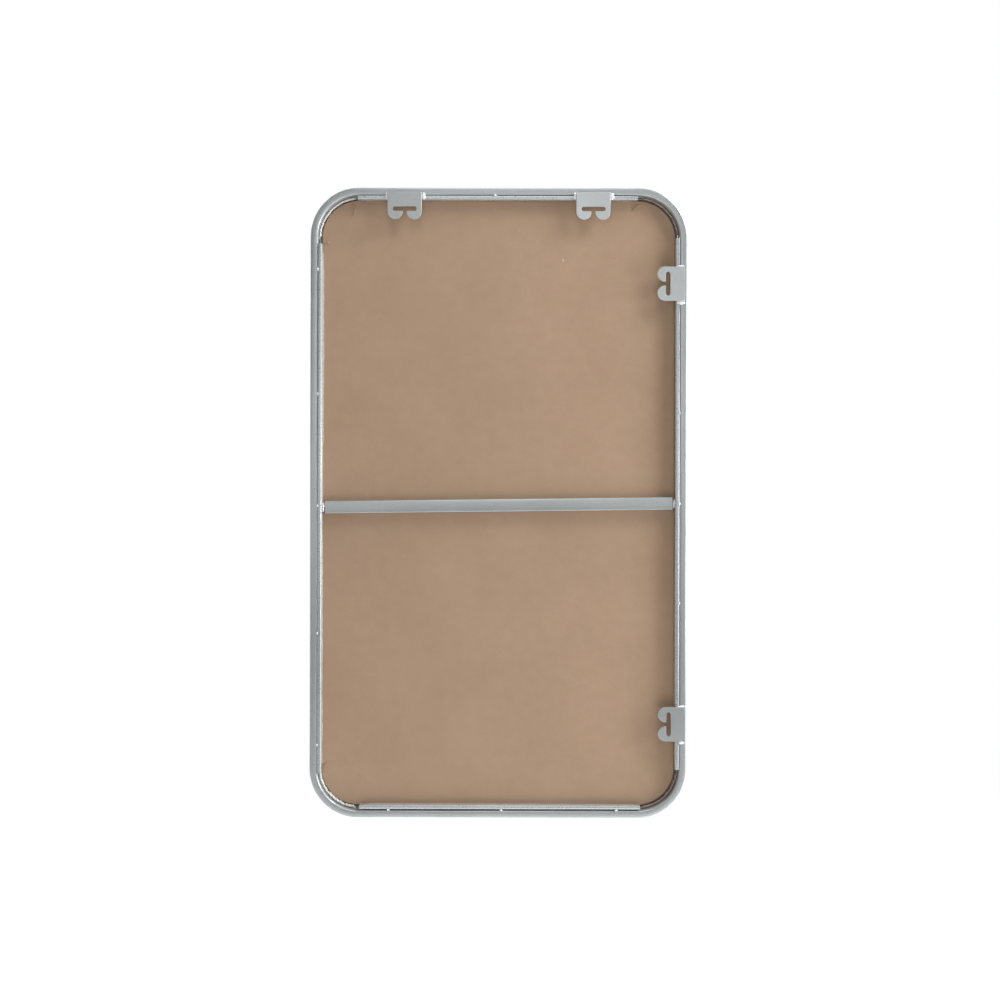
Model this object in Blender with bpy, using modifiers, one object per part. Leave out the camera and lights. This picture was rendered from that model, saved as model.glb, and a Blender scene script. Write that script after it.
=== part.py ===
"""Flat wall mirror in a bent steel tube hoop, with its backing board and welded hanger plates.

Metres, +Z up. The glass faces -Y and the wall is the plane y = 0, where the hanger plates touch it.
The origin is where it hangs: on the wall, midway between the two screws that hold it upright.
Left and right are those of a person who looks into the glass, so left is towards -X.
"""
import math

import bmesh
import bpy
from mathutils import Matrix

# Clearances.
FIT_GAP = 0.0003

# Hoop: one rectangular tube bent into a rounded rectangle.
FRAME_WIDTH = 0.6096
FRAME_HEIGHT = 1.0192
FRAME_DEPTH = 0.0254
CORNER_RADIUS = 0.079
HOOP_WIDTH = 0.012
HOOP_WALL = 0.0012
HOOP_EDGE_RADIUS = 0.0018
VENT_RADIUS = 0.0025
VENT_SPACING = 0.300
VENT_DRILL_LENGTH = 0.004

# Hanger plates: pressed steel with a T-shaped screw slot, welded across the back.
HANGER_WIDTH = 0.055
HANGER_HEIGHT = 0.044
HANGER_THICKNESS = 0.002
HANGER_INSET = 0.0081
SLOT_LENGTH = 0.039
SLOT_WIDTH = 0.0074
SLOT_DROP = 0.0232
NECK_WIDTH = 0.0065
NECK_CORNER = 0.001
HANGER_EDGE = 0.0003
TOP_HANGER_SPACING = 0.3048
SIDE_HANGER_SPACING = 0.7112
SIDE_HANGER_INSETS = (0.0048, 0.0028)
SIDE_HANGER_DROP = 0.0012

# Levels through the depth, counted from the wall towards the glass.
HOOP_BACK = HANGER_THICKNESS + FIT_GAP
LEDGE_DEPTH = 0.011
BEAD_THICKNESS = 0.0008
BOARD_THICKNESS = 0.003
GLASS_THICKNESS = 0.004

# Ledge strips: straight tubes welded inside the hoop, which the board rests on.
LEDGE_WIDTH = 0.0062
LEDGE_WALL = 0.001
LEDGE_EDGE_RADIUS = 0.0014
SIDE_GROOVE = 0.0005
TOP_GROOVE = 0.0009
BOTTOM_GROOVE = 0.0022

# Cross bar: a flat tube across the middle of the board, set slightly out of level.
BAR_HEIGHT = 0.020
BAR_DEPTH = 0.010
BAR_WALL = 0.0012
BAR_EDGE_RADIUS = 0.0012
BAR_LENGTH = 0.5625
BAR_TILT = math.radians(0.75)
BAR_DROP = 0.004

# Board and glass.
BOARD_WIDTH = 0.5736
BOARD_HEIGHT = 0.983
BOARD_CORNER_RADIUS = 0.0605
BOARD_SHIFT = 0.0005
GLASS_CLEARANCE = 0.0012
GLASS_ARRIS = 0.0004

# Weld beads, half sizes: along the bead, across it, and its rise.
HANGER_BEAD = (0.006, 0.0020, 0.00075)
TACK_BEAD = (0.0024, 0.0018, 0.0006)
BAR_BEAD = (0.0080, 0.0013, 0.0020)

# Adhesives.
LEDGE_BEAD_WIDTH = 0.0040
LEDGE_BEAD_END = 0.012
MASTIC_WIDTH = 0.024
MASTIC_LENGTH = 0.860
MASTIC_PITCH = 0.200
CORNER_BEAD_RADIUS = 0.002
CORNER_BEAD_END = 8
BEAD_EDGE_RADIUS = 0.0003

# Facets on round shapes.
CORNER_STEPS = 12
LOBE_STEPS = 10
SLOT_STEPS = 6
EDGE_STEPS = 3
NECK_STEPS = 2
BEAD_STEPS = 2
BORE_STEPS = 1
BORE_EDGE_RADIUS = 0.0004
VENT_SEGMENTS = 12
WELD_SEGMENTS = 10
WELD_RINGS = 6
BEVEL_ANGLE = math.radians(40)
SMOOTH_ANGLE = math.radians(35)

# Derived places.
FRAME_TOP = HANGER_INSET + SLOT_DROP
CENTRE_Z = FRAME_TOP - FRAME_HEIGHT / 2
HALF_WIDTH = FRAME_WIDTH / 2
HALF_HEIGHT = FRAME_HEIGHT / 2
LEDGE_FRONT = HOOP_BACK + LEDGE_DEPTH
BOARD_BACK = LEDGE_FRONT + BEAD_THICKNESS + 2 * FIT_GAP
BOARD_FRONT = BOARD_BACK + BOARD_THICKNESS
GLASS_BACK = BOARD_FRONT + BEAD_THICKNESS + 2 * FIT_GAP

STEEL_PAINT = ((0.46, 0.48, 0.48), 0.38, 0.65)
MERGE_DISTANCE = 0.00001


def clear_scene():
    """Remove whatever the file holds, so that the model starts from nothing."""
    for old_object in list(bpy.data.objects):
        bpy.data.objects.remove(old_object, do_unlink=True)


def new_collection(name):
    """Collection linked to the scene."""
    collection = bpy.data.collections.new(name)
    bpy.context.scene.collection.children.link(collection)
    return collection


def finish_material(part, color, roughness, metallic):
    """Give a part its own plain finish."""
    material = bpy.data.materials.new(part.name + "_finish")
    material.use_nodes = True
    shader = material.node_tree.nodes["Principled BSDF"]
    shader.inputs["Base Color"].default_value = (*color, 1.0)
    shader.inputs["Roughness"].default_value = roughness
    shader.inputs["Metallic"].default_value = metallic
    part.data.materials.clear()
    part.data.materials.append(material)


def arc(centre, radius, start, sweep, steps):
    """Points on an arc about a centre, from a start angle through a sweep, in degrees."""
    angles = [math.radians(start + sweep * step / steps) for step in range(steps + 1)]
    return [(centre[0] + radius * math.cos(a), centre[1] + radius * math.sin(a)) for a in angles]


def rounded_rectangle(width, height, radius, steps):
    """Outline of a rectangle with round corners, about the origin."""
    reach_x = width / 2 - radius
    reach_y = height / 2 - radius
    points = []
    for quarter, (side_x, side_y) in enumerate(((1, 1), (-1, 1), (-1, -1), (1, -1))):
        points += arc((side_x * reach_x, side_y * reach_y), radius, 90 * quarter, 90, steps)
    return points


def mesh_from_curve(name, curve, collection):
    """Closed mesh object of a curve, its caps joined to its sides."""
    drawn = bpy.data.objects.new(name + "_curve", curve)
    collection.objects.link(drawn)
    evaluated = drawn.evaluated_get(bpy.context.evaluated_depsgraph_get())
    mesh = bpy.data.meshes.new_from_object(evaluated)
    part = bpy.data.objects.new(name, mesh)
    part.matrix_world = drawn.matrix_world
    collection.objects.link(part)
    bpy.data.objects.remove(drawn, do_unlink=True)

    welded = bmesh.new()
    welded.from_mesh(mesh)
    bmesh.ops.remove_doubles(welded, verts=welded.verts, dist=MERGE_DISTANCE)
    welded.to_mesh(mesh)
    welded.free()
    return part


def extrusion(name, outlines, length, collection):
    """Solid with flat outlines in its local XY plane and its length along local Z."""
    curve = bpy.data.curves.new(name + "_outline", "CURVE")
    curve.dimensions = "2D"
    curve.fill_mode = "BOTH"
    curve.extrude = length / 2
    for outline in outlines:
        spline = curve.splines.new("POLY")
        spline.points.add(len(outline) - 1)
        for point, (x, y) in zip(spline.points, outline):
            point.co = (x, y, 0.0, 1.0)
        spline.use_cyclic_u = True
    return mesh_from_curve(name, curve, collection)


def box_tube(name, width, depth, wall, edge_radius, length, collection):
    """Open-ended rectangular tube, its length along local Z."""
    outer = rounded_rectangle(width, depth, edge_radius, EDGE_STEPS)
    bore = rounded_rectangle(width - 2 * wall, depth - 2 * wall, BORE_EDGE_RADIUS, BORE_STEPS)
    return extrusion(name, (outer, bore), length, collection)


def round_edges(part, radius, segments):
    """Bevel the sharp edges, and leave the facets of a curve alone."""
    bevel = part.modifiers.new("rounded_edges", "BEVEL")
    bevel.width = radius
    bevel.segments = segments
    bevel.limit_method = "ANGLE"
    bevel.angle_limit = BEVEL_ANGLE


def smooth(part):
    """Shade a part smooth between its sharp edges."""
    part.data.shade_smooth()
    part.data.set_sharp_from_angle(angle=SMOOTH_ANGLE)


def cut(part, cutter):
    """Take a cutter's shape out of a part."""
    cutter.hide_render = True
    cutter.display_type = "WIRE"
    boolean = part.modifiers.new("cut_" + cutter.name, "BOOLEAN")
    boolean.operation = "DIFFERENCE"
    boolean.solver = "EXACT"
    boolean.object = cutter


def place(part, root, location, rotation=(0.0, 0.0, 0.0)):
    """Hang a part on the mirror's empty, at its place and turn."""
    part.parent = root
    part.location = location
    part.rotation_euler = rotation


def depth_centre(back, thickness):
    """World y of the middle of a layer whose back is so far from the wall."""
    return -(back + thickness / 2)


UPRIGHT = (math.pi / 2, 0.0, 0.0)
LENGTH_ALONG_X = (0.0, math.pi / 2, 0.0)


def make_hoop(root, parts, cutters):
    """Hollow hoop, with two vent holes hidden behind the bottom ledge."""
    inner_width = FRAME_WIDTH - 2 * HOOP_WIDTH
    inner_height = FRAME_HEIGHT - 2 * HOOP_WIDTH
    outer = rounded_rectangle(FRAME_WIDTH, FRAME_HEIGHT, CORNER_RADIUS, CORNER_STEPS)
    inner = rounded_rectangle(inner_width, inner_height, CORNER_RADIUS - HOOP_WIDTH, CORNER_STEPS)
    hoop = extrusion("frame_hoop", (outer, inner), FRAME_DEPTH, parts)
    centre = (0.0, depth_centre(HOOP_BACK, FRAME_DEPTH), CENTRE_Z)
    place(hoop, root, centre, UPRIGHT)
    round_edges(hoop, HOOP_EDGE_RADIUS, EDGE_STEPS)

    outer = rounded_rectangle(
        FRAME_WIDTH - 2 * HOOP_WALL, FRAME_HEIGHT - 2 * HOOP_WALL,
        CORNER_RADIUS - HOOP_WALL, CORNER_STEPS)
    inner = rounded_rectangle(
        inner_width + 2 * HOOP_WALL, inner_height + 2 * HOOP_WALL,
        CORNER_RADIUS - HOOP_WIDTH + HOOP_WALL, CORNER_STEPS)
    bore = extrusion("hoop_bore", (outer, inner), FRAME_DEPTH - 2 * HOOP_WALL, cutters)
    place(bore, root, centre, UPRIGHT)
    cut(hoop, bore)

    inner_floor = CENTRE_Z - HALF_HEIGHT + HOOP_WIDTH
    for side in (-1, 1):
        vent_mesh = bpy.data.meshes.new("vent")
        drill = bmesh.new()
        bmesh.ops.create_cone(
            drill, cap_ends=True, segments=VENT_SEGMENTS, radius1=VENT_RADIUS, radius2=VENT_RADIUS,
            depth=VENT_DRILL_LENGTH)
        drill.to_mesh(vent_mesh)
        drill.free()
        vent = bpy.data.objects.new("vent_left" if side < 0 else "vent_right", vent_mesh)
        cutters.objects.link(vent)
        place(vent, root, (side * VENT_SPACING / 2, centre[1], inner_floor))
        cut(hoop, vent)
    smooth(hoop)
    finish_material(hoop, *STEEL_PAINT)


def ledge_offset(groove):
    """How far a ledge's centre line lies inside the frame's outer edge."""
    return HOOP_WIDTH + groove + LEDGE_WIDTH / 2


LEFT_LEDGE_X = -HALF_WIDTH + ledge_offset(SIDE_GROOVE)
RIGHT_LEDGE_X = HALF_WIDTH - ledge_offset(SIDE_GROOVE)
TOP_LEDGE_Z = CENTRE_Z + HALF_HEIGHT - ledge_offset(TOP_GROOVE)
BOTTOM_LEDGE_Z = CENTRE_Z - HALF_HEIGHT + ledge_offset(BOTTOM_GROOVE)

# Each ledge: name, length, centre x, centre z, and whether it lies across.
LEDGES = (
    ("ledge_top", 0.4525, 0.0018, TOP_LEDGE_Z, True),
    ("ledge_bottom", 0.4540, -0.0029, BOTTOM_LEDGE_Z, True),
    ("ledge_left", 0.8592, LEFT_LEDGE_X, CENTRE_Z - 0.0013, False),
    ("ledge_right", 0.8566, RIGHT_LEDGE_X, CENTRE_Z - 0.0095, False),
)


def make_ledges(root, parts):
    """Four straight tubes, flush with the hoop's back."""
    for name, length, x, z, across in LEDGES:
        ledge = box_tube(
            name, LEDGE_WIDTH, LEDGE_DEPTH, LEDGE_WALL, LEDGE_EDGE_RADIUS, length, parts)
        rotation = LENGTH_ALONG_X if across else (0.0, 0.0, 0.0)
        place(ledge, root, (x, depth_centre(HOOP_BACK, LEDGE_DEPTH), z), rotation)
        smooth(ledge)
        finish_material(ledge, *STEEL_PAINT)


BAR_BACK = BOARD_BACK - FIT_GAP - BAR_DEPTH
BAR_CENTRE = (-0.0006, depth_centre(BAR_BACK, BAR_DEPTH), CENTRE_Z - BAR_DROP)


def make_cross_bar(root, parts):
    """Flat tube that keeps the board from bowing."""
    bar = box_tube(
        "cross_bar", BAR_HEIGHT, BAR_DEPTH, BAR_WALL, BAR_EDGE_RADIUS, BAR_LENGTH, parts)
    place(bar, root, BAR_CENTRE, (0.0, math.pi / 2 + BAR_TILT, 0.0))
    smooth(bar)
    finish_material(bar, *STEEL_PAINT)


def hanger_outline():
    """T-slotted plate, its outer edge on the local X axis and its two hooks below."""
    slot_radius = SLOT_WIDTH / 2
    slot_y = -(SLOT_DROP + slot_radius)
    slot_end_x = SLOT_LENGTH / 2 - slot_radius
    lobe_radius = (HANGER_WIDTH - NECK_WIDTH) / 4
    lobe_centre = (HANGER_WIDTH / 2 - lobe_radius, lobe_radius - HANGER_HEIGHT)
    hook_corner = (NECK_WIDTH / 2 + NECK_CORNER, slot_y - slot_radius - NECK_CORNER)

    right_half = [(HANGER_WIDTH / 2, 0.0)]
    right_half += arc(lobe_centre, lobe_radius, 0, -180, LOBE_STEPS)
    right_half += arc(hook_corner, NECK_CORNER, 180, -90, NECK_STEPS)
    right_half += arc((slot_end_x, slot_y), slot_radius, -90, 180, SLOT_STEPS)
    left_half = [(-x, y) for x, y in reversed(right_half)]
    return right_half + left_half


# Each hanger: name, how far its outer edge is turned from up towards the right, and its place.
LEFT_TURN = -math.pi / 2
TOP_EDGE_Z = FRAME_TOP - HANGER_INSET
HANGERS = (
    ("hanger_top_left", 0.0, -TOP_HANGER_SPACING / 2, TOP_EDGE_Z),
    ("hanger_top_right", 0.0, TOP_HANGER_SPACING / 2, TOP_EDGE_Z),
    ("hanger_side_upper", LEFT_TURN, -HALF_WIDTH + SIDE_HANGER_INSETS[0],
     CENTRE_Z - SIDE_HANGER_DROP + SIDE_HANGER_SPACING / 2),
    ("hanger_side_lower", LEFT_TURN, -HALF_WIDTH + SIDE_HANGER_INSETS[1],
     CENTRE_Z - SIDE_HANGER_DROP - SIDE_HANGER_SPACING / 2),
)


def make_hangers(root, parts):
    """Two plates for hanging upright and two for hanging on the long side."""
    for name, turn, x, z in HANGERS:
        hanger = extrusion(name, (hanger_outline(),), HANGER_THICKNESS, parts)
        place(hanger, root, (x, depth_centre(0.0, HANGER_THICKNESS), z), (math.pi / 2, turn, 0.0))
        round_edges(hanger, HANGER_EDGE, 1)
        smooth(hanger)
        finish_material(hanger, *STEEL_PAINT)


def make_board(root, parts):
    """Fibreboard back panel."""
    outline = rounded_rectangle(BOARD_WIDTH, BOARD_HEIGHT, BOARD_CORNER_RADIUS, CORNER_STEPS)
    board = extrusion("backing_board", (outline,), BOARD_THICKNESS, parts)
    centre = (BOARD_SHIFT, depth_centre(BOARD_BACK, BOARD_THICKNESS), CENTRE_Z)
    place(board, root, centre, UPRIGHT)
    smooth(board)
    finish_material(board, (0.43, 0.30, 0.20), 0.85, 0.0)


def make_glass(root, parts):
    """Silvered glass pane, its edges slightly ground."""
    inset = 2 * (HOOP_WIDTH + GLASS_CLEARANCE)
    radius = CORNER_RADIUS - HOOP_WIDTH - GLASS_CLEARANCE
    outline = rounded_rectangle(FRAME_WIDTH - inset, FRAME_HEIGHT - inset, radius, CORNER_STEPS)
    glass = extrusion("mirror_glass", (outline,), GLASS_THICKNESS, parts)
    centre = (0.0, depth_centre(GLASS_BACK, GLASS_THICKNESS), CENTRE_Z)
    place(glass, root, centre, UPRIGHT)
    round_edges(glass, GLASS_ARRIS, 1)
    smooth(glass)
    finish_material(glass, (0.85, 0.88, 0.87), 0.02, 1.0)


def make_bead(name, root, parts, centre, half_size):
    """One small rounded weld bead; half_size is along x, y and z."""
    mesh = bpy.data.meshes.new(name)
    ball = bmesh.new()
    shape = Matrix.Diagonal((*half_size, 1.0))
    bmesh.ops.create_uvsphere(ball, u_segments=WELD_SEGMENTS, v_segments=WELD_RINGS, radius=1.0,
                              matrix=shape)
    ball.to_mesh(mesh)
    ball.free()
    mesh.shade_smooth()
    bead = bpy.data.objects.new(name, mesh)
    parts.objects.link(bead)
    place(bead, root, centre)
    finish_material(bead, *STEEL_PAINT)


def make_hanger_welds(root, parts):
    """A fillet bead down each side of each plate, where it crosses the hoop and the ledge."""
    along, across, rise = HANGER_BEAD
    bead_y = -(HOOP_BACK - FIT_GAP - rise)
    side_reach = HANGER_WIDTH / 2 + FIT_GAP + across
    for name, turn, x, z in HANGERS:
        for number, side in enumerate((-1, 1), start=1):
            bead_name = f"{name}_weld_{number}"
            if turn == 0.0:
                centre = (x + side * side_reach, bead_y, z - along)
                make_bead(bead_name, root, parts, centre, (across, rise, along))
            else:
                centre = (x + along, bead_y, z + side * side_reach)
                make_bead(bead_name, root, parts, centre, (along, rise, across))


# Where each ledge is tacked to the hoop, counted from the frame's middle.
LEDGE_TACKS = {
    "ledge_top": (0.006,),
    "ledge_bottom": (-0.191, -0.005, 0.177),
    "ledge_left": (-0.162, -0.001, 0.146),
    "ledge_right": (-0.392, -0.211, -0.005, 0.176, 0.377),
}


def make_tack_welds(root, parts):
    """Small tacks that bridge the groove between each ledge and the hoop."""
    along, across, rise = TACK_BEAD
    bead_y = -(HOOP_BACK - FIT_GAP - rise)
    for name, _, ledge_x, ledge_z, lies_across in LEDGES:
        for number, from_middle in enumerate(LEDGE_TACKS[name], start=1):
            bead_name = f"{name}_tack_{number}"
            if lies_across:
                side = 1 if ledge_z > CENTRE_Z else -1
                groove = TOP_GROOVE if side > 0 else BOTTOM_GROOVE
                seam_z = ledge_z + side * (LEDGE_WIDTH + groove) / 2
                centre = (from_middle, bead_y, seam_z)
                make_bead(bead_name, root, parts, centre, (along, rise, across))
            else:
                side = 1 if ledge_x > 0 else -1
                seam_x = ledge_x + side * (LEDGE_WIDTH + SIDE_GROOVE) / 2
                centre = (seam_x, bead_y, CENTRE_Z + from_middle)
                make_bead(bead_name, root, parts, centre, (across, rise, along))


def make_bar_welds(root, parts):
    """One bead in the gap between each end of the cross bar and the ledge beside it."""
    along, across, rise = BAR_BEAD
    for name, side, ledge_x in (("left", -1, LEFT_LEDGE_X), ("right", 1, RIGHT_LEDGE_X)):
        bar_end_x = BAR_CENTRE[0] + side * BAR_LENGTH / 2 * math.cos(BAR_TILT)
        ledge_face_x = ledge_x - side * LEDGE_WIDTH / 2
        bead_x = (bar_end_x + ledge_face_x) / 2
        bead_z = BAR_CENTRE[2] - side * BAR_LENGTH / 2 * math.sin(BAR_TILT)
        centre = (bead_x, -(BAR_BACK + rise), bead_z)
        make_bead("cross_bar_weld_" + name, root, parts, centre, (across, rise, along))


def make_ledge_adhesive(root, parts):
    """A flat bead of silicone between each ledge and the board."""
    y = depth_centre(LEDGE_FRONT + FIT_GAP, BEAD_THICKNESS)
    profile = rounded_rectangle(LEDGE_BEAD_WIDTH, BEAD_THICKNESS, BEAD_EDGE_RADIUS, BEAD_STEPS)
    inward = (LEDGE_WIDTH - LEDGE_BEAD_WIDTH) / 2
    for name, length, ledge_x, ledge_z, lies_across in LEDGES:
        bead = extrusion(name + "_silicone", (profile,), length - 2 * LEDGE_BEAD_END, parts)
        if lies_across:
            z = ledge_z - math.copysign(inward, ledge_z - CENTRE_Z)
            place(bead, root, (ledge_x, y, z), LENGTH_ALONG_X)
        else:
            place(bead, root, (ledge_x - math.copysign(inward, ledge_x), y, ledge_z))
        finish_material(bead, (0.62, 0.58, 0.50), 0.45, 0.0)


def make_mastic(root, parts):
    """Three upright beads of mastic, pressed flat, that hold the glass to the board."""
    y = depth_centre(BOARD_FRONT + FIT_GAP, BEAD_THICKNESS)
    profile = rounded_rectangle(MASTIC_WIDTH, BEAD_THICKNESS, BEAD_EDGE_RADIUS, BEAD_STEPS)
    for name, column in (("left", -1), ("middle", 0), ("right", 1)):
        bead = extrusion("mirror_mastic_" + name, (profile,), MASTIC_LENGTH, parts)
        place(bead, root, (column * MASTIC_PITCH, y, CENTRE_Z))
        smooth(bead)
        finish_material(bead, (0.55, 0.50, 0.42), 0.6, 0.0)


def make_corner_glue(root, parts):
    """A bead of glue round each corner, in the gap between the hoop's inner wall and the board."""
    radius = CORNER_RADIUS - HOOP_WIDTH - FIT_GAP - CORNER_BEAD_RADIUS
    y = depth_centre(BOARD_BACK, BOARD_THICKNESS)
    corners = (
        ("top_right", 1, 1), ("top_left", -1, 1), ("bottom_left", -1, -1), ("bottom_right", 1, -1))
    for quarter, (name, side_x, side_z) in enumerate(corners):
        curve = bpy.data.curves.new("corner_glue_path", "CURVE")
        curve.dimensions = "3D"
        curve.bevel_depth = CORNER_BEAD_RADIUS
        curve.bevel_resolution = 1
        curve.use_fill_caps = True
        path = arc((0.0, 0.0), radius, 90 * quarter + CORNER_BEAD_END, 90 - 2 * CORNER_BEAD_END,
                   CORNER_STEPS)
        spline = curve.splines.new("POLY")
        spline.points.add(len(path) - 1)
        for point, (along_x, along_z) in zip(spline.points, path):
            point.co = (along_x, along_z, 0.0, 1.0)
        glue = mesh_from_curve("corner_glue_" + name, curve, parts)
        centre_x = side_x * (HALF_WIDTH - CORNER_RADIUS)
        centre_z = CENTRE_Z + side_z * (HALF_HEIGHT - CORNER_RADIUS)
        place(glue, root, (centre_x, y, centre_z), UPRIGHT)
        smooth(glue)
        finish_material(glue, (0.60, 0.57, 0.52), 0.4, 0.0)


clear_scene()
mirror_parts = new_collection("wall_mirror")
shape_cutters = new_collection("cutters")
mirror_root = bpy.data.objects.new("wall_mirror_origin", None)
mirror_parts.objects.link(mirror_root)

make_hoop(mirror_root, mirror_parts, shape_cutters)
make_ledges(mirror_root, mirror_parts)
make_cross_bar(mirror_root, mirror_parts)
make_hangers(mirror_root, mirror_parts)
make_board(mirror_root, mirror_parts)
make_glass(mirror_root, mirror_parts)
make_hanger_welds(mirror_root, mirror_parts)
make_tack_welds(mirror_root, mirror_parts)
make_bar_welds(mirror_root, mirror_parts)
make_ledge_adhesive(mirror_root, mirror_parts)
make_mastic(mirror_root, mirror_parts)
make_corner_glue(mirror_root, mirror_parts)
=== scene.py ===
"""Flat wall mirror in a bent silver tube hoop, seen from its welded and glued back.

Metres, +Z up. The wall is the plane y = 0, the glass faces -Y and the back faces +Y.
"""
import math

import bpy
import numpy as np
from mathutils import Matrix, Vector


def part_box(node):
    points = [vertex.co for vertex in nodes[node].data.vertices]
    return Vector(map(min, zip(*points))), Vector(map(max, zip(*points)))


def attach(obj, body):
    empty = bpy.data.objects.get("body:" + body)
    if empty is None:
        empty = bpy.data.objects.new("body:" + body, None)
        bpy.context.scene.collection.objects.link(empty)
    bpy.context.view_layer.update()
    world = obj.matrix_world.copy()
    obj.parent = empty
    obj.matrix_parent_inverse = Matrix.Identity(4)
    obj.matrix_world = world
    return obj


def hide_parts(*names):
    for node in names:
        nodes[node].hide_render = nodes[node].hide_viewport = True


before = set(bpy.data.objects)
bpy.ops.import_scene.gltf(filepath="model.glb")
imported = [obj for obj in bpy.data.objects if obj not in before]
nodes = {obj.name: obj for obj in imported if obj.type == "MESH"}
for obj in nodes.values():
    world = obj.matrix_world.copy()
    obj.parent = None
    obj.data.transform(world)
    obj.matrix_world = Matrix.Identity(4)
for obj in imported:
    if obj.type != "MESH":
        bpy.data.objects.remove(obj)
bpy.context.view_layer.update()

# Studio: a plain pale floor well below the mirror, white surroundings that are bright round the
# sides and dim behind the camera, and square soft lights round the back and one at the front.
HOOP_LOW, HOOP_HIGH = (np.array(corner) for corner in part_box("frame_hoop"))
MIDDLE = (HOOP_LOW + HOOP_HIGH) / 2
SENSOR = 0.036
VIEW_DISTANCE = 1.6
VIEW_WIDTH = 1.6132
VIEW_SHIFT = (-0.0026, 0.0047)
VIEW_ROLL = math.radians(-0.12)
FLOOR_DROP = 0.62
FLOOR_SIZE = 4.4
FLOOR_GLOW = 0.3


def shader_material(name, colour, roughness, metallic):
    """Material with one Principled shader, its plain values on the shader's own sockets."""
    material = bpy.data.materials.new(name)
    material.use_nodes = True
    shader = material.node_tree.nodes["Principled BSDF"]
    shader.inputs["Base Color"].default_value = (*colour, 1.0)
    shader.inputs["Roughness"].default_value = roughness
    shader.inputs["Metallic"].default_value = metallic
    return material, material.node_tree.nodes, material.node_tree.links, shader


camera_data = bpy.data.cameras.new("back_view")
camera_data.sensor_width = SENSOR * 1000
camera_data.lens = SENSOR * 1000 * VIEW_DISTANCE / VIEW_WIDTH
camera = bpy.data.objects.new("back_view", camera_data)
camera.location = (VIEW_SHIFT[0], VIEW_DISTANCE, MIDDLE[2] + VIEW_SHIFT[1])
camera.rotation_euler = (math.pi / 2, VIEW_ROLL, math.pi)
bpy.context.scene.collection.objects.link(camera)
bpy.context.scene.camera = camera
bpy.context.scene.view_settings.view_transform = "Standard"

floor_mesh = bpy.data.meshes.new("studio_floor")
half_floor = FLOOR_SIZE / 2
floor_z = HOOP_LOW[2] - FLOOR_DROP
floor_mesh.from_pydata(
    [(-half_floor, -half_floor, floor_z), (half_floor, -half_floor, floor_z),
     (half_floor, half_floor, floor_z), (-half_floor, half_floor, floor_z)], [], [(0, 1, 2, 3)])
floor = bpy.data.objects.new("studio_floor", floor_mesh)
bpy.context.scene.collection.objects.link(floor)
floor_finish, _, _, floor_shader = shader_material("pale_floor", (0.9, 0.9, 0.9), 0.6, 0.0)
floor_shader.inputs["Emission Color"].default_value = (1.0, 1.0, 1.0, 1.0)
floor_shader.inputs["Emission Strength"].default_value = FLOOR_GLOW
floor_mesh.materials.append(floor_finish)

# The surroundings' brightness follows the direction: 0 is straight in front of the glass, a half
# is sideways, and 1 is straight behind the back. Each stop is a direction and its brightness.
SKY_STOPS = ((0.0, 0.80), (0.45, 0.66), (0.535, 0.54), (0.60, 0.04), (1.0, 0.03))
SKY_TINT = (0.985, 1.0, 1.01)
world = bpy.data.worlds.new("white_studio")
world.use_nodes = True
bpy.context.scene.world = world
sky_nodes, sky_links = world.node_tree.nodes, world.node_tree.links
sky = sky_nodes["Background"]
direction = sky_nodes.new("ShaderNodeTexCoord")

# Half of the direction's part along +Y, plus a half, runs from 0 to 1.
towards_back = sky_nodes.new("ShaderNodeVectorMath")
towards_back.operation = "DOT_PRODUCT"
towards_back.inputs[1].default_value = (0.0, 0.5, 0.0)
sky_links.new(direction.outputs["Generated"], towards_back.inputs[0])
half_turn = sky_nodes.new("ShaderNodeMath")
half_turn.inputs[1].default_value = 0.5
sky_links.new(towards_back.outputs["Value"], half_turn.inputs[0])
around = sky_nodes.new("ShaderNodeValToRGB")
while len(around.color_ramp.elements) < len(SKY_STOPS):
    around.color_ramp.elements.new(0.5)
for stop, (position, level) in zip(around.color_ramp.elements, SKY_STOPS):
    stop.position = position
    stop.color = (*(level * share for share in SKY_TINT), 1.0)
sky_links.new(half_turn.outputs["Value"], around.inputs["Fac"])
seen = sky_nodes.new("ShaderNodeLightPath")
backdrop = sky_nodes.new("ShaderNodeMix")
backdrop.data_type = "RGBA"
backdrop.inputs["B"].default_value = (1.0, 1.0, 1.0, 1.0)
sky_links.new(seen.outputs["Is Camera Ray"], backdrop.inputs["Factor"])
sky_links.new(around.outputs["Color"], backdrop.inputs["A"])
sky_links.new(backdrop.outputs["Result"], sky.inputs["Color"])


def soft_light(name, place, size, power):
    """Square area light that faces the middle of the mirror."""
    lamp = bpy.data.lights.new(name, "AREA")
    lamp.shape = "SQUARE"
    lamp.size = size
    lamp.energy = power
    light = bpy.data.objects.new(name, lamp)
    light.location = place
    aim = np.array(MIDDLE) - np.array(place)
    yaw = math.atan2(aim[1], aim[0]) - math.pi / 2
    pitch = math.atan2(aim[2], math.hypot(aim[0], aim[1])) + math.pi / 2
    light.rotation_euler = (pitch, 0.0, yaw)
    bpy.context.scene.collection.objects.link(light)


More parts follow.
